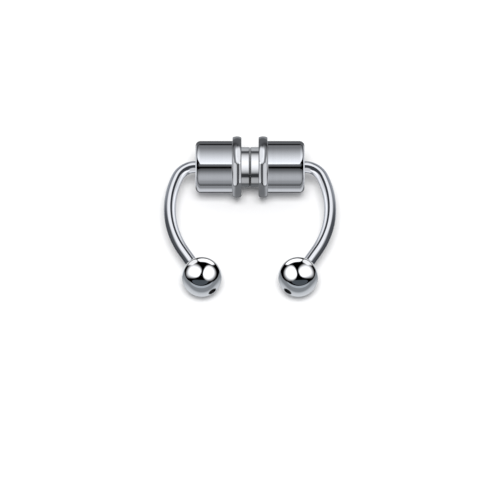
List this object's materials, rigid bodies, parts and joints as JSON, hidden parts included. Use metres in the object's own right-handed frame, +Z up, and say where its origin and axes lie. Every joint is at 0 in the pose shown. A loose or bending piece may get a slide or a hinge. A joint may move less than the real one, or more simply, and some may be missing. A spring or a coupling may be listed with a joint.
{
  "type": "magnetic nose ring",
  "caption": "Horseshoe nose ring in two mirrored halves that meet at disc magnets, each a flanged barrel with a bent wire arm and a polished screw-on ball.",
  "frame": {"origin": "on the surface that the ring lies on, under the middle of its bounding box", "axes": "+X along the magnets' axis from the left half to the right half, -Y towards the open mouth between the balls, +Z up"},
  "size_m": [0.0174, 0.0174, 0.0062],
  "materials": {
    "sleeve_steel": "mirror polished stainless steel",
    "magnet_plating": "bright nickel plate on a disc magnet",
    "wire_steel": "polished drawn stainless steel wire",
    "ball_steel": "mirror polished stainless steel"
  },
  "bodies": {
    "left_half": {"left_sleeve": "sleeve_steel", "left_magnet": "magnet_plating", "left_arm": "wire_steel"},
    "left_end": {"left_ball": "ball_steel"},
    "right_magnet": {"right_magnet": "magnet_plating"},
    "right_half": {"right_sleeve": "sleeve_steel", "right_arm": "wire_steel"},
    "right_end": {"right_ball": "ball_steel"}
  },
  "joints": [
    {"name": "pull_apart", "type": "slide", "parent": "left_half", "child": "right_magnet", "axis": [1, 0, 0], "range_m": [0, 0.012]},
    {"name": "magnet_twist", "type": "hinge", "parent": "right_magnet", "child": "right_half", "pos_m": [0, 0.00563, 0.0031], "axis": [1, 0, 0], "continuous": true},
    {"name": "left_ball_off", "type": "slide", "parent": "left_half", "child": "left_end", "axis": [0.5446, -0.8354, -0.0743], "range_m": [0, 0.005]},
    {"name": "right_ball_off", "type": "slide", "parent": "right_half", "child": "right_end", "axis": [-0.5446, -0.8354, -0.0743], "range_m": [0, 0.005]}
  ]
}
